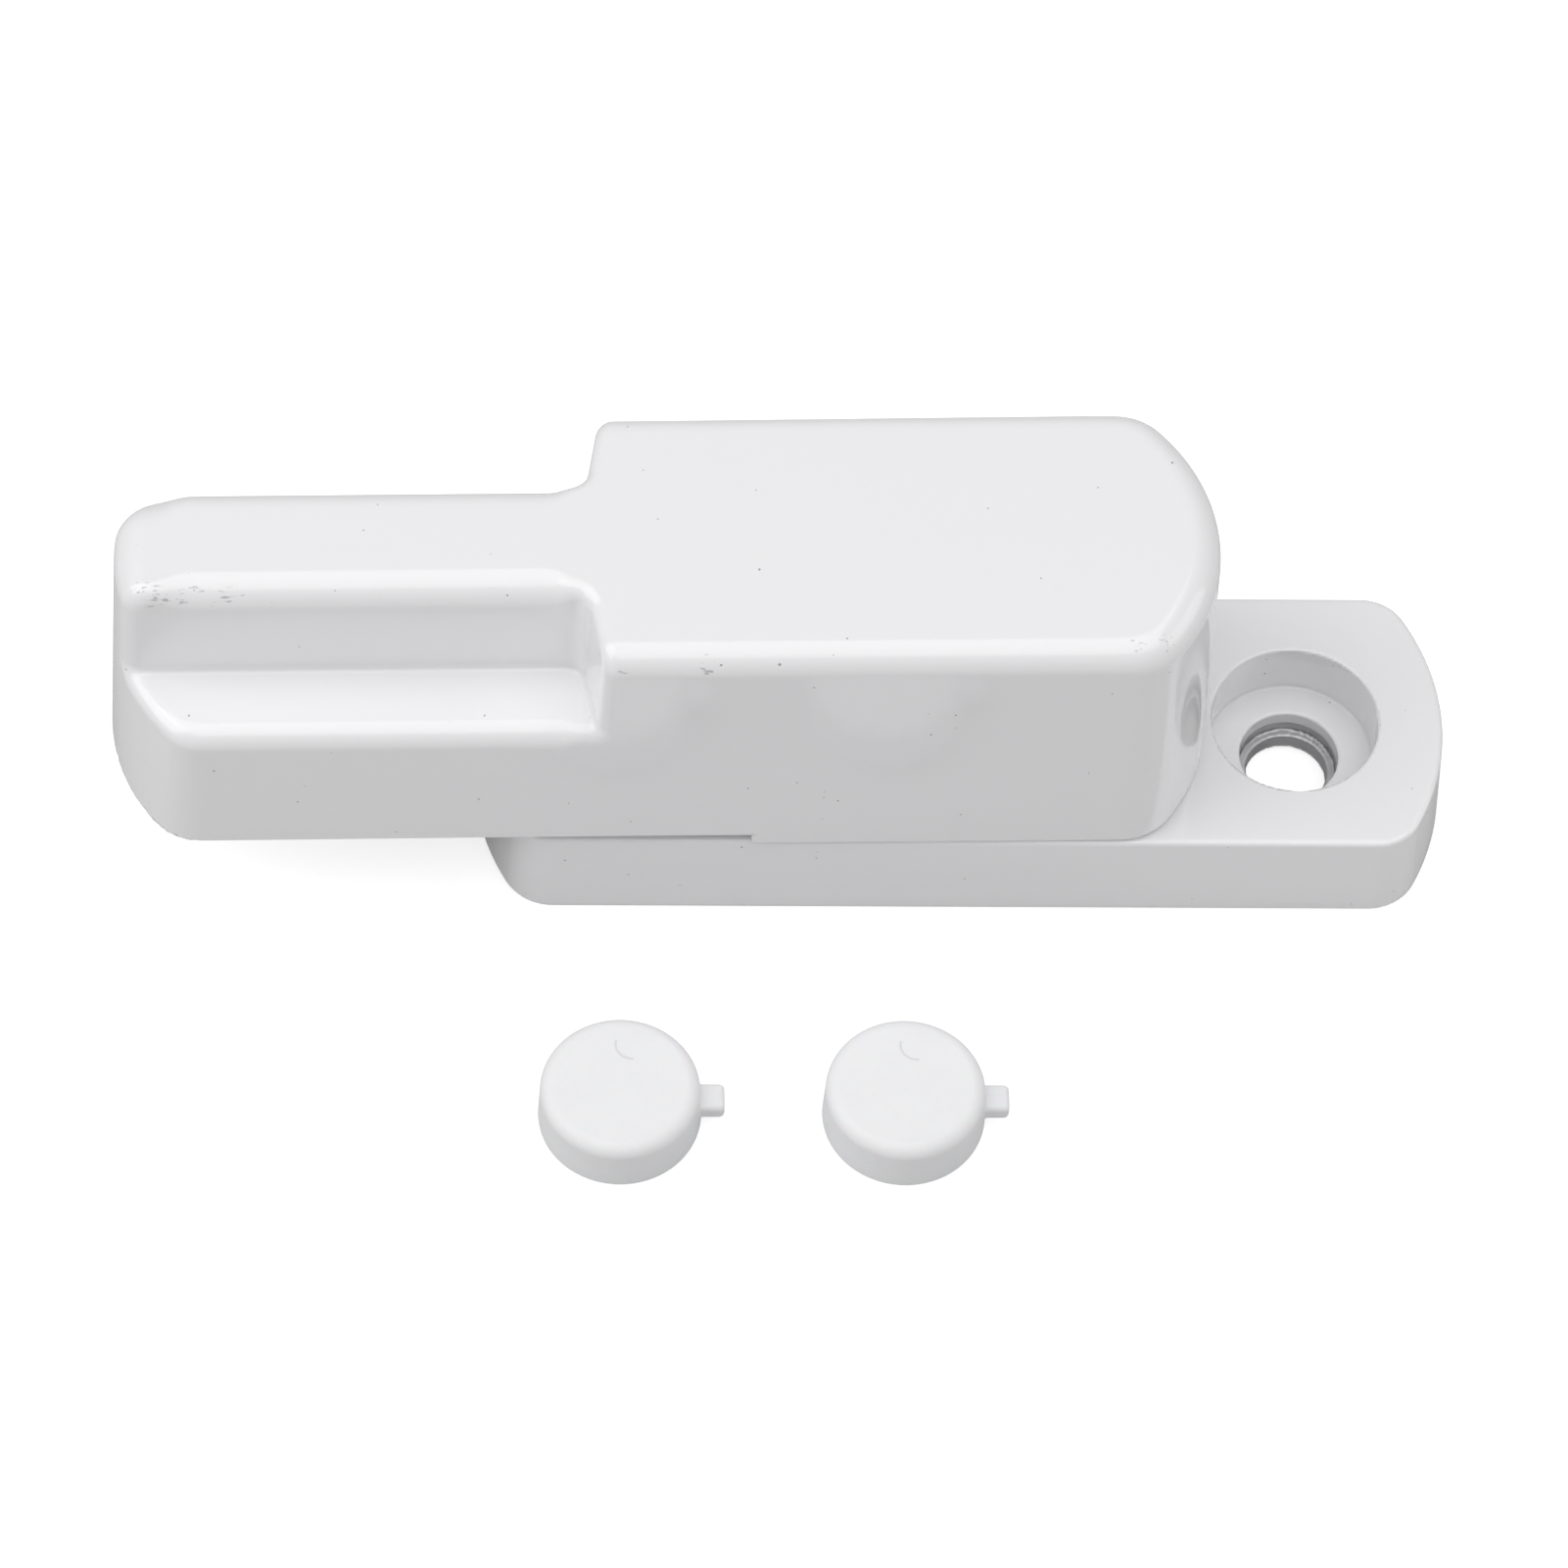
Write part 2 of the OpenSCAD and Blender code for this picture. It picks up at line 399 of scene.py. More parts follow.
class GroupKit:
    """Shader node groups that the finishes share, each built once."""

    @staticmethod
    def _frame(
        name: str, inputs: dict[str, float], outputs: tuple[str, ...]
    ) -> tuple[Nodes, bpy.types.Node, bpy.types.Node]:
        """Makes an empty group with named number sockets.

        Args:
            name: Name of the group.
            inputs: Inputs and their defaults.
            outputs: Names of the outputs.

        Returns:
            The group's node helper, and its input and output nodes.
        """
        tree = bpy.data.node_groups.new(name, "ShaderNodeTree")
        for key, value in inputs.items():
            tree.interface.new_socket(
                name=key, in_out="INPUT", socket_type="NodeSocketFloat"
            ).default_value = value
        for key in outputs:
            tree.interface.new_socket(name=key, in_out="OUTPUT", socket_type="NodeSocketFloat")
        nodes = Nodes(tree)
        return nodes, nodes.add("NodeGroupInput"), nodes.add("NodeGroupOutput")

    @cache
    def orange_peel(self) -> bpy.types.NodeTree:
        """Draws the gentle waviness of a cured powder coat.

        Returns:
            The group, which puts out a height.
        """
        nodes, given, out = self._frame(
            "orange_peel",
            {"Wave Scale": 700.0, "Grain Scale": 3200.0, "Grain Share": 0.15},
            ("Height",),
        )
        place = nodes.spot()
        wave = nodes.noise(given.outputs["Wave Scale"], 1.5, place)
        grain = nodes.noise(given.outputs["Grain Scale"], 3.0, place)
        part = nodes.math("MULTIPLY", grain, given.outputs["Grain Share"])
        nodes.link(nodes.math("ADD", wave, part), out.inputs["Height"])
        return nodes.tree

    @cache
    def specks(self) -> bpy.types.NodeTree:
        """Draws sparse dark dust specks caught in the coat.

        Returns:
            The group, which puts out a mask.
        """
        nodes, given, out = self._frame(
            "specks", {"Cell Scale": 520.0, "Share": 0.3, "Size": 0.055}, ("Mask",)
        )
        cells = nodes.add("ShaderNodeTexVoronoi")
        nodes.link(nodes.spot(), cells.inputs["Vector"])
        nodes.link(given.outputs["Cell Scale"], cells.inputs["Scale"])
        shade = nodes.add("ShaderNodeSeparateColor")
        nodes.link(cells.outputs["Color"], shade.inputs["Color"])
        chosen = nodes.math("LESS_THAN", shade.outputs["Red"], given.outputs["Share"])
        size = nodes.math("MULTIPLY", given.outputs["Size"], shade.outputs["Green"])
        close = nodes.math("LESS_THAN", cells.outputs["Distance"], size)
        faint = nodes.math("MULTIPLY", close, chosen)
        weight = nodes.math("ADD", shade.outputs["Blue"], 0.25, clamp=True)
        nodes.link(nodes.math("MULTIPLY", faint, weight), out.inputs["Mask"])
        return nodes.tree

    @cache
    def edge_scuff(self) -> bpy.types.NodeTree:
        """Draws grey marks in rubbed places and a few on sharp outer edges.

        Returns:
            The group, which puts out a mask.
        """
        nodes, given, out = self._frame(
            "edge_scuff",
            {"Scratch Scale": 5200.0, "Amount": 0.8, "Everywhere": 0.02},
            ("Mask",),
        )
        edge = nodes.add("ShaderNodeAttribute", attribute_name="edge").outputs["Fac"]
        rub = nodes.add("ShaderNodeAttribute", attribute_name="rub").outputs["Fac"]
        squeezed = nodes.add("ShaderNodeMapping")
        squeezed.inputs["Scale"].default_value = (0.25, 1.0, 1.0)
        nodes.link(nodes.spot(), squeezed.inputs["Vector"])
        scratch = nodes.noise(given.outputs["Scratch Scale"], 4.0, squeezed.outputs["Vector"])
        sharp = nodes.math("MULTIPLY", nodes.ramp(edge, 0.2, 0.9), given.outputs["Everywhere"])
        where = nodes.math("ADD", rub, sharp)
        rise = nodes.math("MULTIPLY", where, 0.15)
        broken = nodes.ramp(nodes.math("ADD", scratch, rise), 0.68, 0.78)
        masked = nodes.math("MULTIPLY", broken, nodes.ramp(where, 0.0, 0.25))
        marks = nodes.math("MULTIPLY", masked, given.outputs["Amount"], clamp=True)
        nodes.link(marks, out.inputs["Mask"])
        return nodes.tree

    @cache
    def witness_arc(self) -> bpy.types.NodeTree:
        """Draws the short curved mark that the mould leaves on a flat face.

        Returns:
            The group, which puts out a height.
        """
        nodes, given, out = self._frame(
            "witness_arc",
            {"Centre X": 0.0008, "Centre Y": 0.003, "Radius": 0.0011, "Width": 0.00007},
            ("Height",),
        )
        parts = nodes.parts(nodes.spot())
        across = nodes.math("SUBTRACT", parts["X"], given.outputs["Centre X"])
        along = nodes.math("SUBTRACT", parts["Y"], given.outputs["Centre Y"])
        away = nodes.math("SUBTRACT", nodes.length(across, along), given.outputs["Radius"])
        near = nodes.math("LESS_THAN", nodes.math("ABSOLUTE", away), given.outputs["Width"])
        left = nodes.math("LESS_THAN", across, 0.0001)
        low = nodes.math("LESS_THAN", along, 0.0003)
        hook = nodes.math("MULTIPLY", nodes.math("MULTIPLY", near, left), low)
        nodes.link(hook, out.inputs["Height"])
        return nodes.tree

    @cache
    def turned_marks(self) -> bpy.types.NodeTree:
        """Draws the fine rings that turning leaves on metal, and dull patches.

        Returns:
            The group, which puts out a height and a mask.
        """
        nodes, given, out = self._frame(
            "turned_marks", {"Ring Scale": 5200.0, "Stain Scale": 260.0}, ("Height", "Stain")
        )
        place = nodes.spot()
        parts = nodes.parts(place)
        reach = nodes.math("ADD", nodes.length(parts["X"], parts["Y"]), parts["Z"])
        line = nodes.add("ShaderNodeCombineXYZ")
        nodes.link(reach, line.inputs["X"])
        rings = nodes.noise(given.outputs["Ring Scale"], 2.0, line.outputs["Vector"])
        stain = nodes.noise(given.outputs["Stain Scale"], 4.0, place)
        nodes.link(rings, out.inputs["Height"])
        nodes.link(nodes.ramp(stain, 0.45, 0.75), out.inputs["Stain"])
        return nodes.tree


@dataclass(frozen=True)
class Finish:
    """Common start of every finish.

    Attributes:
        name: Name of the material.
        colour: Clean base colour.
        roughness: Roughness of the clean surface.
    """

    name: str
    colour: Colour
    roughness: float

    def shell(self) -> tuple[bpy.types.Material, Nodes, bpy.types.Node]:
        """Makes a material that holds one Principled shader.

        Returns:
            The material, its node helper and the shader.
        """
        material = bpy.data.materials.new(self.name)
        material.use_nodes = True
        material.diffuse_color = (*self.colour, 1.0)
        tree = material.node_tree
        tree.nodes.clear()
        nodes = Nodes(tree)
        shader = nodes.add("ShaderNodeBsdfPrincipled")
        shader.inputs["Base Color"].default_value = (*self.colour, 1.0)
        shader.inputs["Roughness"].default_value = self.roughness
        output = nodes.add("ShaderNodeOutputMaterial")
        nodes.link(shader.outputs["BSDF"], output.inputs["Surface"])
        return material, nodes, shader

    @staticmethod
    def place(nodes: Nodes, tree: bpy.types.NodeTree, **values: float) -> bpy.types.Node:
        """Places a shared group with its own values.

        Args:
            nodes: Helper of the material's tree.
            tree: The shared group.
            **values: Input values, with underscores for spaces.

        Returns:
            The group node.
        """
        node = nodes.add("ShaderNodeGroup")
        node.node_tree = tree
        for key, value in values.items():
            node.inputs[key.replace("_", " ")].default_value = value
        return node

    @staticmethod
    def bump(nodes: Nodes, height: object, depth_mm: float, strength: float) -> object:
        """Adds a Bump node.

        Args:
            nodes: Helper of the material's tree.
            height: Socket with the height.
            depth_mm: Depth of the relief in millimetres.
            strength: Share of it that shows.

        Returns:
            The normal's output.
        """
        node = nodes.add("ShaderNodeBump")
        node.inputs["Strength"].default_value = strength
        node.inputs["Distance"].default_value = depth_mm * MM
        nodes.link(height, node.inputs["Height"])
        return node.outputs["Normal"]

    def dull(self, nodes: Nodes, shader: bpy.types.Node, mask: object, share: float) -> None:
        """Makes the surface rougher where a mask is set.

        Args:
            nodes: Helper of the material's tree.
            shader: The material's shader.
            mask: Socket with the mask.
            share: Roughness added where the mask is 1.
        """
        rough = nodes.math("ADD", nodes.math("MULTIPLY", mask, share), self.roughness)
        nodes.link(rough, shader.inputs["Roughness"])


@dataclass(frozen=True)
class PowderCoat(Finish):
    """Glossy white powder coat over a zinc casting.

    Attributes:
        scuff_colour: Colour of rubbed edges.
        speck_colour: Colour of dust specks.
        scuff: Strength of the rub marks.
        peel_mm: Height of the orange peel.
    """

    scuff_colour: Colour = (0.36, 0.36, 0.37)
    speck_colour: Colour = (0.4, 0.4, 0.41)
    scuff: float = 0.7
    peel_mm: float = 0.0025

    def make(self, kit: GroupKit) -> bpy.types.Material:
        """Builds the material.

        Args:
            kit: The shared groups.

        Returns:
            The material.
        """
        material, nodes, shader = self.shell()
        shader.inputs["IOR"].default_value = 1.5
        shader.inputs["Coat Weight"].default_value = 1.0
        shader.inputs["Coat Roughness"].default_value = 0.012
        scuff = self.place(nodes, kit.edge_scuff(), Amount=self.scuff)
        specks = self.place(nodes, kit.specks())
        fine = self.place(nodes, kit.specks(), Cell_Scale=1100.0, Share=0.12, Size=0.1)
        peel = self.place(nodes, kit.orange_peel())
        dirty = nodes.mix(scuff.outputs["Mask"], self.colour, self.scuff_colour)
        dusty = nodes.mix(specks.outputs["Mask"], dirty, self.speck_colour)
        soiled = nodes.mix(fine.outputs["Mask"], dusty, self.speck_colour)
        nodes.link(soiled, shader.inputs["Base Color"])
        self.dull(nodes, shader, scuff.outputs["Mask"], 0.35)
        normal = self.bump(nodes, peel.outputs["Height"], self.peel_mm, 0.5)
        nodes.link(normal, shader.inputs["Normal"])
        return material


@dataclass(frozen=True)
class MouldedPlastic(Finish):
    """Soft satin moulded plastic.

    Attributes:
        grain_mm: Height of the moulded grain.
        tint: Colour of the faint flow marks.
        scatter: Subsurface share.
        arc_mm: Depth of the mould's witness mark, or 0 for none.
        arc_colour: Shade that gathers in the mark.
    """

    grain_mm: float = 0.01
    tint: Colour = (0.78, 0.78, 0.8)
    scatter: float = 0.1
    arc_mm: float = 0.0
    arc_colour: Colour = (0.5, 0.5, 0.51)

    def make(self, kit: GroupKit) -> bpy.types.Material:
        """Builds the material.

        Args:
            kit: The shared groups.

        Returns:
            The material.
        """
        material, nodes, shader = self.shell()
        shader.inputs["Subsurface Weight"].default_value = self.scatter
        shader.inputs["Subsurface Scale"].default_value = 1.2 * MM
        grain = self.place(
            nodes, kit.orange_peel(), Wave_Scale=260.0, Grain_Scale=2600.0, Grain_Share=0.6
        )
        flow = nodes.ramp(grain.outputs["Height"], 0.55, 1.15)
        tone = nodes.mix(flow, self.colour, self.tint)
        self.dull(nodes, shader, flow, 0.12)
        normal = self.bump(nodes, grain.outputs["Height"], self.grain_mm, 0.6)
        if self.arc_mm > 0:
            arc = self.place(nodes, kit.witness_arc())
            faint = nodes.math("MULTIPLY", arc.outputs["Height"], 0.3)
            tone = nodes.mix(faint, tone, self.arc_colour)
            mark = nodes.add("ShaderNodeBump")
            mark.inputs["Distance"].default_value = self.arc_mm * MM
            nodes.link(arc.outputs["Height"], mark.inputs["Height"])
            nodes.link(normal, mark.inputs["Normal"])
            normal = mark.outputs["Normal"]
        nodes.link(tone, shader.inputs["Base Color"])
        nodes.link(normal, shader.inputs["Normal"])
        return material


@dataclass(frozen=True)
class MachinedMetal(Finish):
    """Turned, cast or plated bare metal.

    Attributes:
        stain_colour: Colour of dull patches.
        ring_mm: Height of the turning marks.
    """

    stain_colour: Colour = (0.35, 0.35, 0.36)
    ring_mm: float = 0.006

    def make(self, kit: GroupKit) -> bpy.types.Material:
        """Builds the material.

        Args:
            kit: The shared groups.

        Returns:
            The material.
        """
        material, nodes, shader = self.shell()
        shader.inputs["Metallic"].default_value = 1.0
        marks = self.place(nodes, kit.turned_marks())
        stained = nodes.mix(marks.outputs["Stain"], self.colour, self.stain_colour)
        nodes.link(stained, shader.inputs["Base Color"])
        self.dull(nodes, shader, marks.outputs["Stain"], 0.2)
        normal = self.bump(nodes, marks.outputs["Height"], self.ring_mm, 0.5)
        nodes.link(normal, shader.inputs["Normal"])
        return material


@dataclass
class Palette:
    """Every material of the latch, made once from the shared groups."""

    kit: GroupKit = field(default_factory=GroupKit)

    def __post_init__(self) -> None:
        """Builds the materials."""
        white = (0.9, 0.897, 0.912)
        self.coat = PowderCoat("white_powder_coat", white, 0.27).make(self.kit)
        self.zinc = MachinedMetal("bare_zinc", (0.55, 0.55, 0.56), 0.42).make(self.kit)
        self.steel = MachinedMetal("zinc_plated_steel", (0.68, 0.69, 0.71), 0.27).make(self.kit)
        self.spring = MachinedMetal("spring_steel", (0.36, 0.37, 0.4), 0.32).make(self.kit)
        self.acetal = MouldedPlastic("natural_acetal", (0.8, 0.78, 0.7), 0.42).make(self.kit)
        self.cap = MouldedPlastic(
            "white_cap_plastic", (0.87, 0.87, 0.88), 0.48, tint=(0.85, 0.85, 0.865), arc_mm=0.05
        ).make(self.kit)


# Sub-assemblies


def dress(obj: bpy.types.Object, *materials: bpy.types.Material) -> None:
    """Gives an object its materials, the first on every face.

    Args:
        obj: The object.
        *materials: Its materials.
    """
    obj.data.materials.clear()
    for material in materials:
        obj.data.materials.append(material)


@dataclass(frozen=True)
class End:
    """One bowed end of a casting, seen in plan.

    Attributes:
        reach: Distance from the pivot to the tip, at the front face.
        radius: Radius of the bowed end.
        corner: Radius of its two plan corners.
        lean: How far it leans out towards the back.
        corner_lean: How much larger the corners are at the back.
        edge: Radius of the front edge round this end.
    """

    reach: float
    radius: float
    corner: float
    lean: float
    corner_lean: float
    edge: float


@dataclass
class Casting:
    """A bar with bowed ends, leaning sides and rounded front edges, in plan about the pivot.

    Attributes:
        width: Width across the front.
        height: Height of the bar.
        right: The +X end.
        left: The -X end.
        side_lean: How far each side leans out towards the back.
        edge: Radius of the front edges along the sides.
        foot: Radius of the back edges.
        flare: How much each side stands out further at the +X end.
    """

    width: float
    height: float
    right: End
    left: End
    side_lean: float
    edge: float
    foot: float = 0.3
    flare: float = 0.0

    def outline(self, x: Array, y: Array, lean: Array) -> Array:
        """Distance from the plan outline.

        Args:
            x: Positions along the bar.
            y: Positions across the bar.
            lean: 0 at the front face and 1 at the back.

        Returns:
            The plan field.
        """
        half = self.width / 2 + self.side_lean * lean + self.flare * ease(x, -30.0, 12.0)
        plan = np.abs(y) - half
        for end, way in ((self.right, 1.0), (self.left, -1.0)):
            along = way * x - end.reach + end.radius
            radius = end.radius + end.lean * lean
            corner = end.corner + end.corner_lean * lean
            step = np.sqrt((radius - corner) ** 2 - (half - corner) ** 2)
            past, out = along - step, np.abs(y) - half + corner
            angle = np.arctan2(out, past)
            turned = (angle > np.arctan2(half - corner, step)) & (angle < math.pi / 2)
            bowed = np.maximum(plan, np.hypot(np.maximum(along, 0.0), y) - radius)
            plan = np.where(turned, np.hypot(past, out) - corner, bowed)
        return plan

    def solid(self, x: Array, y: Array, z: Array) -> Array:
        """Works out the field of the plain bar.

        Args:
            x, y, z: Positions in the bar's frame, in millimetres.

        Returns:
            The field.
        """
        plan = self.outline(x, y, 1.0 - z / self.height)
        edge = self.edge
        for end, way in ((self.right, 1.0), (self.left, -1.0)):
            near = ease(way * x, end.reach - 9.0, end.reach - 2.0)
            edge = edge + (end.edge - self.edge) * near
        body = meet(plan, z - self.height, edge)
        return meet(body, -z, self.foot)

    def limits(self, spare: float = 0.6) -> tuple[tuple[float, ...], tuple[float, ...]]:
        """Finds the space that holds the bar.

        Args:
            spare: Room left all round.

        Returns:
            Its lowest and highest corner.
        """
        half = self.width / 2 + self.side_lean + self.flare + spare
        low = (-self.left.reach - self.left.lean - spare, -half, -spare)
        high = (self.right.reach + self.right.lean + spare, half, self.height + spare)
        return low, high


def bore(x: Array, y: Array, z: Array, radius: float, low: float, high: float) -> Array:
    """Returns the field of a round hole along Z between two heights."""
    return np.maximum(np.hypot(x, y) - radius, np.maximum(low - z, z - high))


@dataclass
class BasePlate(Casting):
    """The screwed-down plate with its two counterbored screw holes and the pivot's recesses.

    Attributes:
        hole_x: Distance from the pivot to each screw hole.
        seat_r: Counterbore radius.
        seat_depth: Counterbore depth.
        hole_r: Radius of the screw hole above its step.
        low_r: Radius of the screw hole below its step.
        step_z: Height of the step.
        flange_r: Radius of the shallow recess under the bush's flange.
        flange_h: Depth of that recess.
        bush_r: Radius of the bush's bore.
        head_r: Radius of the recess for the pivot screw's head.
        head_h: Depth of that recess.
        soft: Radius of the painted edges round the holes.
        grid: Distance between samples.
    """

    hole_x: float = 22.5
    seat_r: float = 5.65
    seat_depth: float = 4.3
    hole_r: float = 3.35
    low_r: float = 2.75
    step_z: float = 1.3
    flange_r: float = 8.6
    flange_h: float = 0.82
    bush_r: float = 5.0
    head_r: float = 6.5
    head_h: float = 3.4
    soft: float = 0.14
    grid: float = 0.21

    def field(self, x: Array, y: Array, z: Array) -> Array:
        """Works out the field of the finished plate.

        Args:
            x, y, z: Positions in the plate's frame, in millimetres.

        Returns:
            The field.
        """
        floor = self.height - self.seat_depth
        body = self.solid(x, y, z)
        hole = np.abs(x) - self.hole_x
        reach = np.hypot(hole, y)
        seat = meet(reach - self.seat_r, floor - z, 0.2)
        body = cut(body, seat, self.soft)
        body = cut(body, meet(reach - self.hole_r, self.step_z - z, 0.1), self.soft)
        body = cut(body, reach - self.low_r, 0.12)
        centre = np.hypot(x, y)
        flange = meet(centre - self.flange_r, self.height - self.flange_h - z, 0.1)
        body = cut(cut(body, flange, 0.15), centre - self.bush_r, 0.1)
        return cut(body, np.maximum(centre - self.head_r, z - self.head_h), 0.2)

    def build(self, palette: Palette) -> bpy.types.Object:
        """Builds and dresses the plate, with bare metal in the screw holes.

        Args:
            palette: The latch's materials.

        Returns:
            The plate.
        """
        low, high = self.limits()
        plate = Skin(self.field, low, high, self.grid, edge_depth=0.7).build("plate_casting")
        dress(plate, palette.coat, palette.zinc)
        floor = self.height - self.seat_depth
        mesh = plate.data
        centre = np.zeros(len(mesh.polygons) * 3, np.float32)
        mesh.polygons.foreach_get("center", centre)
        x, y, z = (centre.reshape(-1, 3) / MM).T
        reach = np.hypot(np.abs(x) - self.hole_x, y)
        bare = (reach < self.hole_r + GAP) & (z < floor - 1.0) & (z > 0.25)
        bare |= (np.hypot(x, y) < self.bush_r + 2 * GAP) & (z > 0.3)
        mesh.polygons.foreach_set("material_index", bare.astype(np.int32))
        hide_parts("base_plate")
        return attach(plate, "plate")


@dataclass
class SwingArm(Casting):
    """The thick arm with a finger recess on each side of its nose.

    Attributes:
        recess_h: Depth of the recesses below the top.
        ridge: Width of the ridge between them, at the top.
        ridge_lean: How much wider the ridge is at its root, on each side.
        recess_x: Distance from the pivot to the recesses' end wall, at the ridge.
        end_slant: Slope of the end wall across the arm.
        end_lean: How far the end wall leans back from its foot to its top.
        corner: Inner radius where the ridge meets the end wall.
        floor_r: Inner radius along the recess floor.
        lip: Outer radius round the recess.
        ridge_lip: Outer radius along the top of the ridge.
        tip_lip: Outer radius of the ridge's upright corner at the tip, on the +Y side.
        crisp: Outer radius of the end wall's edges and of the -Y side at the tip.
        pad_x: Distance from the pivot to the bearing pad's step.
        relief: Height of that step.
        wall: Thickness of the cored walls.
        seat_r: Radius of the seat for the pivot screw's shoulder.
        seat_h: Depth of that seat.
        thread_r: Radius of the threaded hole.
        thread_h: Depth of that hole.
        grid: Distance between samples.
    """

    recess_h: float = 8.3
    ridge: float = 8.6
    ridge_lean: float = 0.3
    recess_x: float = 25.9
    end_slant: float = 0.17
    end_lean: float = 0.4
    corner: float = 1.1
    floor_r: float = 0.45
    lip: float = 1.45
    ridge_lip: float = 1.9
    tip_lip: float = 3.2
    crisp: float = 1.0
    pad_x: float = 14.6
    relief: float = 1.1
    wall: float = 3.0
    seat_r: float = 3.5 + GAP
    seat_h: float = 1.0
    thread_r: float = 2.51
    thread_h: float = 12.0
    grid: float = 0.3

    def recess(self, x: Array, y: Array, z: Array) -> Array:
        """Works out the field of the two finger recesses.

        Args:
            x, y, z: Positions in the arm's frame, in millimetres.

        Returns:
            The field.
        """
        depth = (self.height - z) / self.recess_h
        out = np.abs(y) - self.ridge / 2
        ridge = self.ridge_lean * depth - out
        end = x + self.recess_x - self.end_slant * out - self.end_lean * (1.0 - depth)
        ledge = self.height - self.recess_h - z
        return meet(meet(ridge, end, self.corner), ledge, self.floor_r)

    def cores(self, x: Array, y: Array, z: Array) -> Array:
        """Works out the field of the two cored pockets beside their rib.

        Args:
            x, y, z: Positions in the arm's frame, in millimetres.

        Returns:
            The field.
        """
        inner = np.abs(y) - self.width / 2 + self.wall
        nose_end = self.left.reach - self.left.radius / 2 - self.wall
        rib = self.wall / 2
        low_h = self.height - self.recess_h - self.wall
        nose = meet(-x - nose_end, x + self.recess_x + rib, 0.8)
        nose = meet(nose, z - low_h, 0.8)
        heel = meet(-x - self.recess_x + rib, x + self.pad_x, 0.8)
        heel = meet(heel, z - self.height + 2 * self.wall, 0.8)
        return meet(np.minimum(nose, heel), inner, 0.8)

    def field(self, x: Array, y: Array, z: Array) -> Array:
        """Works out the field of the finished arm.

        Args:
            x, y, z: Positions in the arm's frame, in millimetres.

        Returns:
            The field.
        """
        high = ease(z, self.height - self.recess_h + 2.0, self.height - 1.5)
        free = ease(-x, self.recess_x + 0.4, self.recess_x + 2.2)
        lip = self.lip + (self.ridge_lip - self.lip) * high * free
        shoulder = ease(x, -self.recess_x - 1.6, -self.recess_x - 0.2)
        tip = ease(-x, self.left.reach - 5.0, self.left.reach - 2.0)
        back = ease(y, -0.5, 0.5)
        lip = lip + (self.crisp - lip) * np.maximum(shoulder, tip * (1.0 - back))
        lip = lip + (self.tip_lip - lip) * tip * back
        body = cut(self.solid(x, y, z), self.recess(x, y, z), lip)
        body = cut(body, np.maximum(x + self.pad_x, z - self.relief), 0.15)
        body = cut(body, self.cores(x, y, z), 0.3)
        body = cut(body, bore(x, y, z, self.seat_r, FAR_BELOW, self.seat_h), 0.1)
        return cut(body, bore(x, y, z, self.thread_r, FAR_BELOW, self.thread_h), 0.1)

    def build(self, palette: Palette) -> bpy.types.Object:
        """Builds and dresses the arm.

        Args:
            palette: The latch's materials.

        Returns:
            The arm.
        """
        low, high = self.limits()
        top = self.height - 0.2
        front = -self.ridge / 2
        rubs = (
            (-53.6, front, top, 2.2),
            (-51.2, front, top, 2.2),
            (-48.6, front, top, 1.9),
            (-46.2, front, top, 1.3),
            (-23.4, -9.6, top - 0.8, 0.9),
            (-18.2, -9.6, top - 0.8, 1.2),
            (9.6, -9.0, top, 0.9),
            (11.6, -8.4, top - 0.3, 1.0),
        )
        skin = Skin(self.field, low, high, self.grid, rubs=rubs)
        arm = skin.build("arm_casting", lift(ARM_Z, PARK_DEG))
        dress(arm, palette.coat)
        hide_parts("swing_arm")
        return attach(arm, "arm")


@dataclass
class CoverCap:
    """One moulded screw cover cap with the stub of its moulding gate.

    Attributes:
        x: Where the cap lies along the plate.
        y: Where it lies in front of the plate.
        radius: Outer radius.
        height: Cap height.
        edge: Radius of the top edge.
        wall: Skirt thickness.
        roof: Top thickness.
        taper: How much smaller the radius is at the top.
        stub: Stub length.
        stub_w: Stub width.
        stub_z: Height of the stub's underside.
        stub_h: Stub thickness.
        grid: Distance between samples.
    """

    x: float
    y: float = -26.6
    radius: float = 5.4
    height: float = 4.0
    edge: float = 0.9
    wall: float = 1.2
    roof: float = 1.5
    taper: float = 0.15
    stub: float = 1.5
    stub_w: float = 2.0
    stub_z: float = 1.1
    stub_h: float = 1.4
    grid: float = 0.15

    def field(self, x: Array, y: Array, z: Array) -> Array:
        """Works out the field of the cap.

        Args:
            x, y, z: Positions in a frame about its centre, in millimetres.

        Returns:
            The field.
        """
        reach = np.hypot(x, y)
        skirt = reach - self.radius + self.taper * z / self.height
        body = meet(meet(skirt, z - self.height, self.edge), -z, 0.15)
        mid = self.stub_z + self.stub_h / 2
        across = meet(np.abs(y) - self.stub_w / 2, np.abs(z - mid) - self.stub_h / 2, 0.4)
        bar = meet(across, np.abs(x - self.radius) - self.stub, 0.35)
        body = add(body, bar, 0.2)
        hollow = meet(reach - self.radius + self.wall, z - self.height + self.roof, 0.4)
        return cut(body, hollow, 0.15)

    def build(self, palette: Palette, side: Side) -> bpy.types.Object:
        """Builds and dresses the cap.

        Args:
            palette: The latch's materials.
            side: Which cap it is.

        Returns:
            The cap.
        """
        reach = self.radius + 0.5
        low, high = (-reach, -reach, -0.5), (reach + self.stub, reach, self.height + 0.5)
        place = Matrix.Translation((self.x * MM, self.y * MM, 0))
        cap = Skin(self.field, low, high, self.grid, edge_depth=0.5).build(
            f"cover_cap_{side.value}", place
        )
        dress(cap, palette.cap)
        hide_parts(f"screw_cap_{side.value}")
        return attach(cap, f"cap_{side.value}")


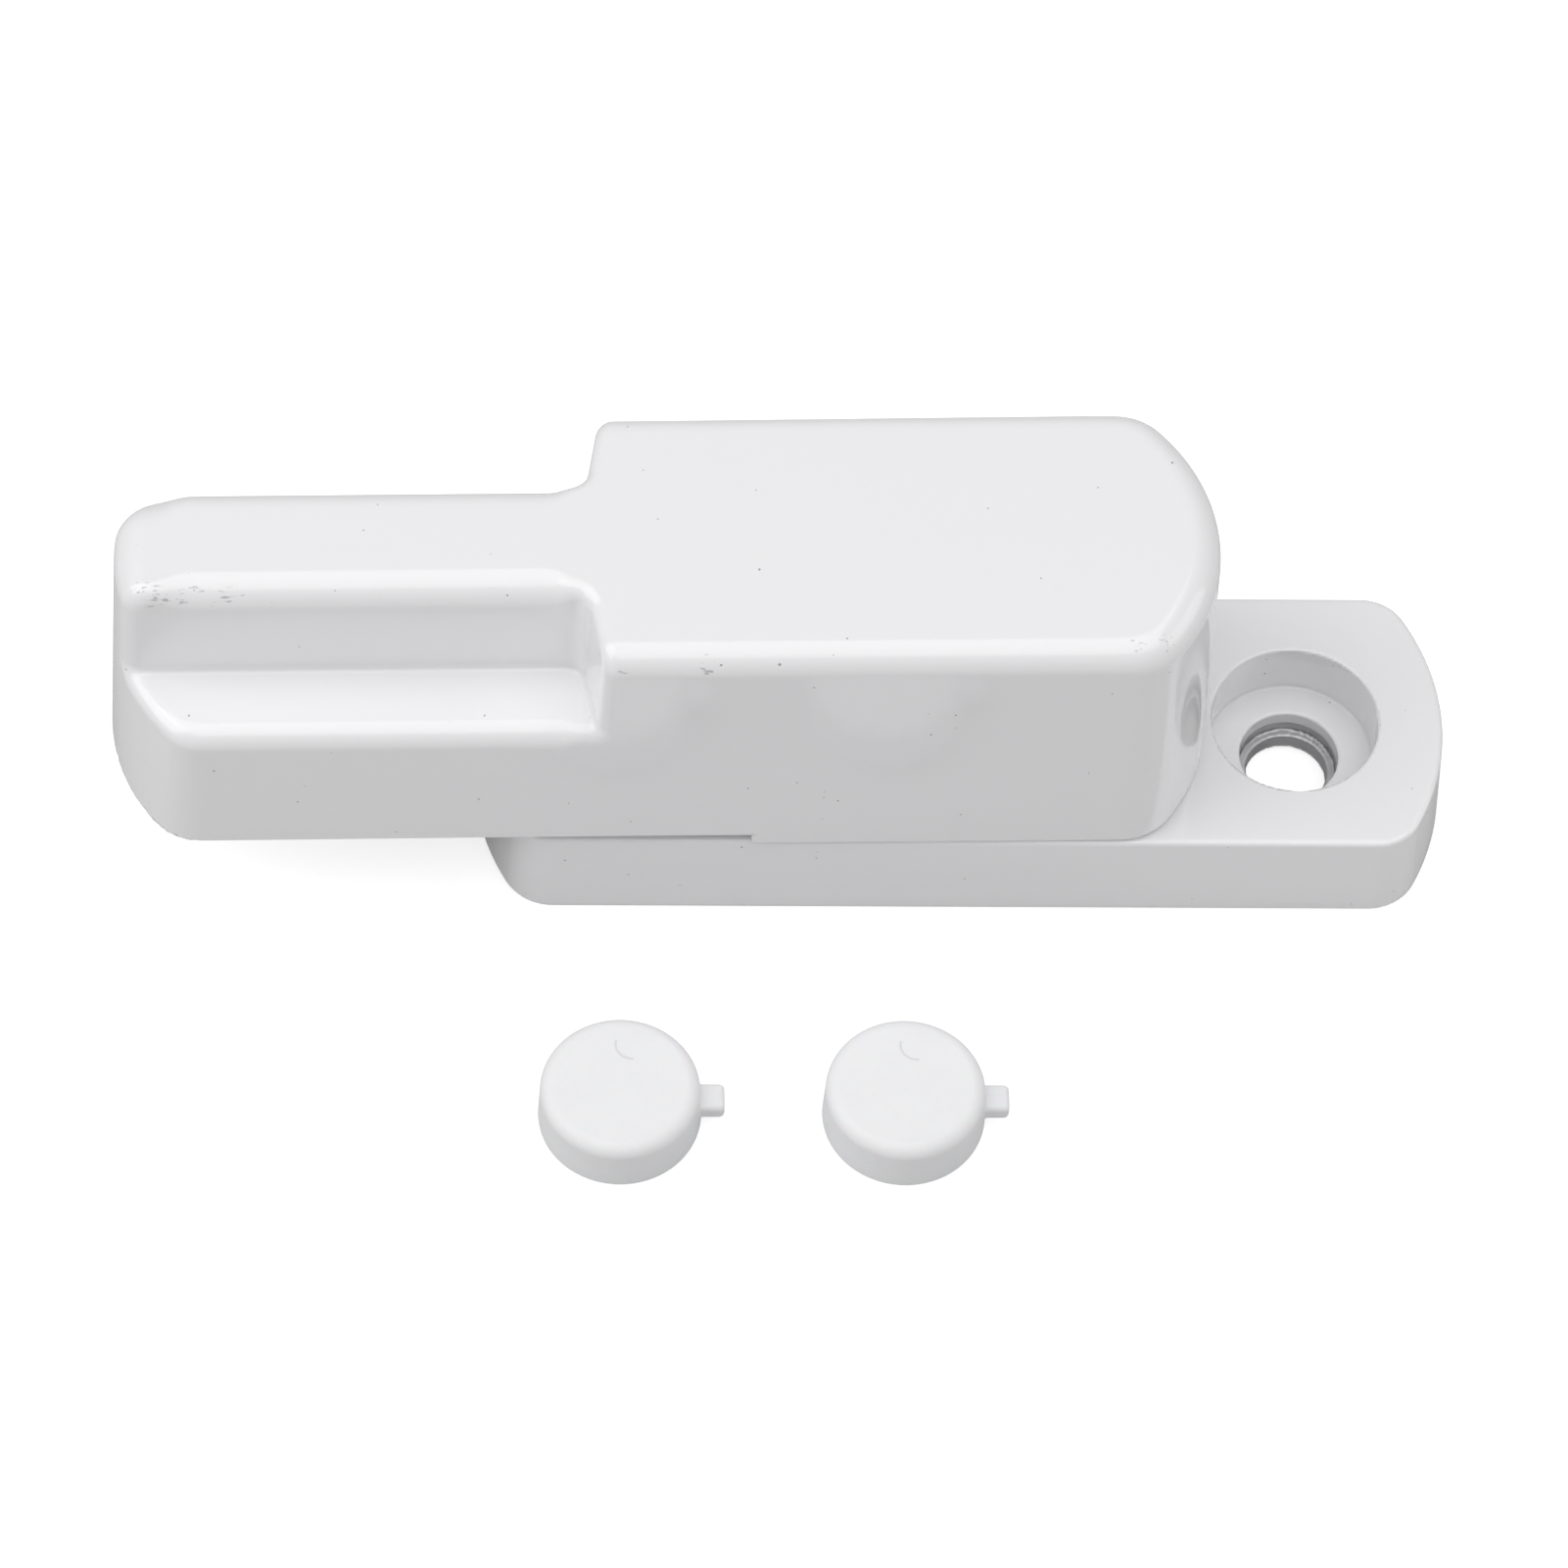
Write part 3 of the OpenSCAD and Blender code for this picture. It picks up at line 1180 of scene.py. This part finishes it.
@dataclass
class PivotHardware:
    """Shoulder screw, bush and washers on the pivot axis.

    Attributes:
        head_r: Radius of the screw's head.
        head_z: Height of the head's outer face above the back of the plate.
        head_h: Thickness of the head.
        shoulder_r: Shoulder radius.
        seat_z: Height at which the shoulder ends.
        thread_r: Thread radius.
        thread_l: Thread length.
        pitch: Thread pitch.
        drive: Half of the hexagon socket's width across flats.
        drive_h: Socket depth.
        grid: Distance between samples.
    """

    head_r: float = 6.0
    head_z: float = 0.3
    head_h: float = 1.6
    shoulder_r: float = 3.5
    seat_z: float = 8.7
    thread_r: float = 2.5
    thread_l: float = 10.0
    pitch: float = 0.8
    drive: float = 2.0
    drive_h: float = 3.0
    grid: float = 0.2

    def screw_field(self, x: Array, y: Array, z: Array) -> Array:
        """Works out the field of the shoulder screw.

        Args:
            x, y, z: Positions in the plate's frame, in millimetres.

        Returns:
            The field.
        """
        reach = np.hypot(x, y)
        head = meet(reach - self.head_r, self.head_z - z, 0.35)
        head = meet(head, z - self.head_z - self.head_h, 0.15)
        shank = meet(reach - self.shoulder_r, z - self.seat_z, 0.2)
        shank = np.maximum(shank, self.head_z + 0.4 - z)
        turn = (z / self.pitch - np.arctan2(y, x) / (2 * math.pi)) % 1.0
        groove = 0.22 * (0.5 + 0.5 * np.cos(2 * math.pi * turn))
        thread = meet(reach - self.thread_r + groove, z - self.seat_z - self.thread_l, 0.4)
        thread = np.maximum(thread * 0.8, self.seat_z - 0.5 - z)
        body = add(add(head, shank, 0.05), thread, 0.05)
        flats = [
            x * math.cos(a) + y * math.sin(a)
            for a in (math.radians(60 * k) for k in range(6))
        ]
        socket = np.maximum.reduce(flats) - self.drive
        return cut(body, np.maximum(socket, z - self.head_z - self.drive_h), 0.12)

    def build(self, palette: Palette) -> list[bpy.types.Object]:
        """Builds the screw and dresses the bush and washers.

        Args:
            palette: The latch's materials.

        Returns:
            The pieces.
        """
        reach = self.head_r + 0.4
        top = self.seat_z + self.thread_l + 0.4
        screw = Skin(
            self.screw_field, (-reach, -reach, 0.0), (reach, reach, top), self.grid, 0.5
        ).build("shoulder_screw")
        dress(screw, palette.steel)
        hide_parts("pivot_screw")
        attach(screw, "arm")
        made = [screw]
        for node, material in (
            ("bearing_bush", palette.acetal),
            ("backing_washer", palette.steel),
            ("wave_washer", palette.spring),
        ):
            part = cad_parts[node]
            dress(part, material)
            bevel = part.modifiers.new("broken_edges", "BEVEL")
            bevel.width = 0.06 * MM
            bevel.segments = 2
            bevel.limit_method = "ANGLE"
            bevel.angle_limit = math.radians(40)
            made.append(part)
        return made


# Studio


@dataclass
class Studio:
    """Pale floor, soft lights and the camera.

    Attributes:
        azimuth: Camera's turn round the latch, in degrees.
        elevation: Camera's height above the horizon, in degrees.
        roll: Camera's tilt about its own axis, in degrees.
        distance: Camera's distance, in millimetres.
        target: Point that it looks at, in millimetres.
        lens: Focal length on the sensor.
        sensor: Width of the sensor, in millimetres.
        shade: Grey of the floor.
        glow: How much lighter the floor looks to the camera.
        sky: Strength of the surroundings.
    """

    azimuth: float = -3.83
    elevation: float = 56.95
    roll: float = -3.5
    distance: float = 468.1
    target: tuple[float, float, float] = (-11.8, -0.5, 0.0)
    lens: float = 157.4
    sensor: float = 36.0
    shade: float = 0.6
    glow: float = 0.68
    sky: float = 0.4

    def camera(self) -> bpy.types.Object:
        """Creates the camera and makes it the scene's own.

        Returns:
            The camera.
        """
        data = bpy.data.cameras.new("camera")
        data.lens = self.lens
        data.sensor_width = self.sensor
        data.clip_start, data.clip_end = 0.01, 10.0
        cam = bpy.data.objects.new("camera", data)
        bpy.context.scene.collection.objects.link(cam)
        a, e = math.radians(self.azimuth), math.radians(self.elevation)
        back = Vector((math.sin(a) * math.cos(e), -math.cos(a) * math.cos(e), math.sin(e)))
        aim = Vector(self.target) * MM
        turn = back.to_track_quat("Z", "Y").to_matrix().to_4x4()
        cam.matrix_world = (
            Matrix.Translation(aim + back * self.distance * MM)
            @ turn
            @ Matrix.Rotation(math.radians(-self.roll), 4, "Z")
        )
        bpy.context.scene.camera = cam
        return cam

    @staticmethod
    def area(name: str, place: Vector, size: tuple[float, float], watts: float) -> None:
        """Adds a soft rectangular light that faces the latch.

        Args:
            name: Name of the light.
            place: Its position in metres.
            size: Width and depth in metres.
            watts: Power.
        """
        data = bpy.data.lights.new(name, "AREA")
        data.shape = "RECTANGLE"
        data.size, data.size_y = size
        data.energy = watts
        light = bpy.data.objects.new(name, data)
        light.location = place
        light.rotation_euler = (-place).to_track_quat("-Z", "Y").to_euler()
        bpy.context.scene.collection.objects.link(light)

    def floor(self) -> bpy.types.Object:
        """Makes the pale floor.

        Returns:
            The floor.
        """
        mesh = bpy.data.meshes.new("floor")
        work = bmesh.new()
        bmesh.ops.create_grid(work, x_segments=2, y_segments=2, size=2.0)
        work.to_mesh(mesh)
        work.free()
        obj = bpy.data.objects.new("floor", mesh)
        bpy.context.scene.collection.objects.link(obj)
        material = bpy.data.materials.new("pale_floor")
        material.use_nodes = True
        shader = material.node_tree.nodes["Principled BSDF"]
        shader.inputs["Base Color"].default_value = (*(3 * [self.shade]), 1.0)
        shader.inputs["Roughness"].default_value = 0.9
        shader.inputs["Specular IOR Level"].default_value = 0.1
        shader.inputs["Emission Strength"].default_value = 1.0
        nodes = Nodes(material.node_tree)
        seen = nodes.add("ShaderNodeLightPath").outputs["Is Camera Ray"]
        glow = nodes.mix(seen, (0.0, 0.0, 0.0), (self.glow, self.glow, self.glow))
        nodes.link(glow, shader.inputs["Emission Color"])
        mesh.materials.append(material)
        obj.location.z = -0.0001
        return obj

    def build(self) -> None:
        """Sets up floor, lights, surroundings and camera."""
        self.floor()
        self.camera()
        world = bpy.data.worlds.new("studio")
        world.use_nodes = True
        ground = world.node_tree.nodes["Background"]
        ground.inputs["Color"].default_value = (1.0, 1.0, 1.0, 1.0)
        ground.inputs["Strength"].default_value = self.sky
        bpy.context.scene.world = world
        self.area("key", Vector((0.05, -0.1, 0.8)), (1.0, 1.0), 3.3)
        self.area("right_fill", Vector((0.8, 0.0, 0.35)), (0.5, 0.5), 0.8)
        self.area("left_fill", Vector((-0.6, -0.1, 0.5)), (0.7, 0.7), 2.1)


def main() -> None:
    """Builds the latch piece by piece, then the studio."""
    logging.basicConfig(level=logging.INFO, format="%(name)s: %(message)s")
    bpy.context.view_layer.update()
    palette = Palette()
    bowed = End(reach=32.5, radius=17.3, corner=3.2, lean=0.45, corner_lean=0.45, edge=0.3)
    plate = BasePlate(
        width=20.0, height=PLATE_T, right=bowed, left=bowed, side_lean=0.45, edge=0.3
    )
    heel = End(reach=15.7, radius=13.2, corner=4.0, lean=0.6, corner_lean=0.2, edge=2.0)
    nose = End(reach=56.0, radius=12.6, corner=2.1, lean=1.15, corner_lean=2.1, edge=2.0)
    arm = SwingArm(
        width=20.0, height=21.6, right=heel, left=nose, side_lean=0.05, edge=1.8, flare=0.1
    )
    LOG.info("plate: %s", plate.build(palette).name)
    LOG.info("arm: %s", arm.build(palette).name)
    for side, x in CAP_X.items():
        LOG.info("cap: %s", CoverCap(x=x).build(palette, side).name)
    for part in PivotHardware().build(palette):
        LOG.info("pivot: %s", part.name)
    Studio().build()
    bpy.context.scene.view_settings.view_transform = "Standard"


if __name__ == "__main__":
    main()
